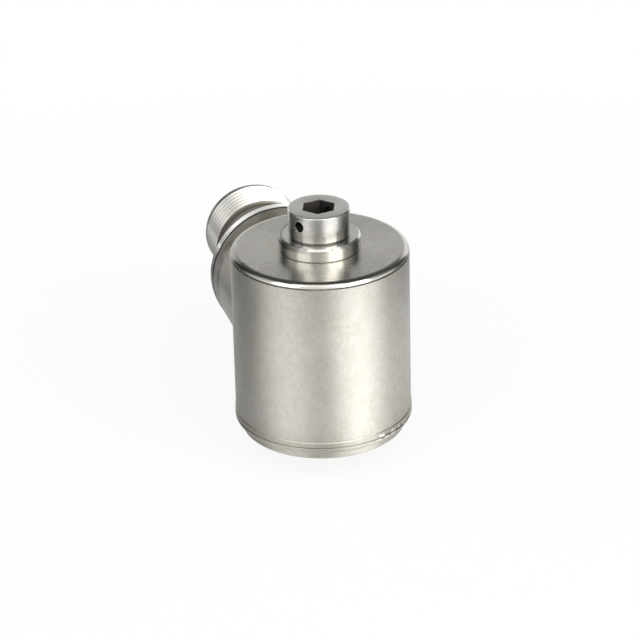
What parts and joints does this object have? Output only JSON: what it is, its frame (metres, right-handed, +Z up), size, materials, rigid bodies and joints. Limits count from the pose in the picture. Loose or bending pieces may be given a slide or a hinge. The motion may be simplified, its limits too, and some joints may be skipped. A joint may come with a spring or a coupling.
{
  "type": "vibration sensor",
  "caption": "Low-profile industrial vibration sensor: round stainless case, captive centre mounting screw with hex socket, side neck with a threaded pin connector.",
  "frame": {"origin": "middle of the mounting face, on the mounting screw's axis", "axes": "+Z up along the screw towards its head, +Y along the side connector towards its mouth"},
  "size_m": [0.0278, 0.0569, 0.0415],
  "materials": {
    "case_steel": "satin, fine blasted",
    "polished_steel": "turned and polished",
    "spring_steel": "plain",
    "inner_steel": "turned",
    "seal_glass": "fused, glossy",
    "gold_plated_pin": "gold plated",
    "brass_spacer": "turned",
    "alumina": "ground",
    "sleeve_plastic": "smooth",
    "piezo_ceramic": "ground, silvered faces",
    "heavy_alloy": "turned",
    "tinned_shield": "tinned",
    "board_laminate": "solder mask",
    "dark_moulding": "moulded",
    "tantalum_moulding": "moulded",
    "diode_glass": "glossy",
    "capacitor_ceramic": "fired",
    "wire_white": "smooth insulation",
    "wire_dark": "smooth insulation"
  },
  "bodies": {
    "housing": {"case_shell": "case_steel", "side_neck": "case_steel", "base": "case_steel", "top_boss": "polished_steel", "connector_shell": "polished_steel", "element_post": "inner_steel", "clamp_nut": "inner_steel", "board_screws": "inner_steel", "glass_seal": "seal_glass", "contact_pin_a": "gold_plated_pin", "contact_pin_b": "gold_plated_pin", "board_spacers": "brass_spacer", "lower_insulator": "alumina", "upper_insulator": "alumina", "insulating_sleeve": "sleeve_plastic", "piezo_ring": "piezo_ceramic", "seismic_mass": "heavy_alloy", "shield_can": "tinned_shield", "shield_lid": "tinned_shield", "circuit_board": "board_laminate", "filter_board": "board_laminate", "amplifier_chip": "dark_moulding", "surge_diode": "dark_moulding", "chip_resistors": "dark_moulding", "tantalum_capacitors": "tantalum_moulding", "regulator_diode": "diode_glass", "filter_capacitors": "capacitor_ceramic", "signal_wire": "wire_white", "element_wire": "wire_white", "common_wire": "wire_dark"},
    "keeper": {"retaining_ring": "spring_steel"},
    "screw": {"captive_screw": "polished_steel"}
  },
  "joints": [
    {"name": "screw_float", "type": "slide", "parent": "housing", "child": "keeper", "axis": [0, 0, 1], "range_m": [0, 0.005]},
    {"name": "screw_turn", "type": "hinge", "parent": "keeper", "child": "screw", "pos_m": [0, 0, 0], "axis": [0, 0, 1], "continuous": true}
  ]
}
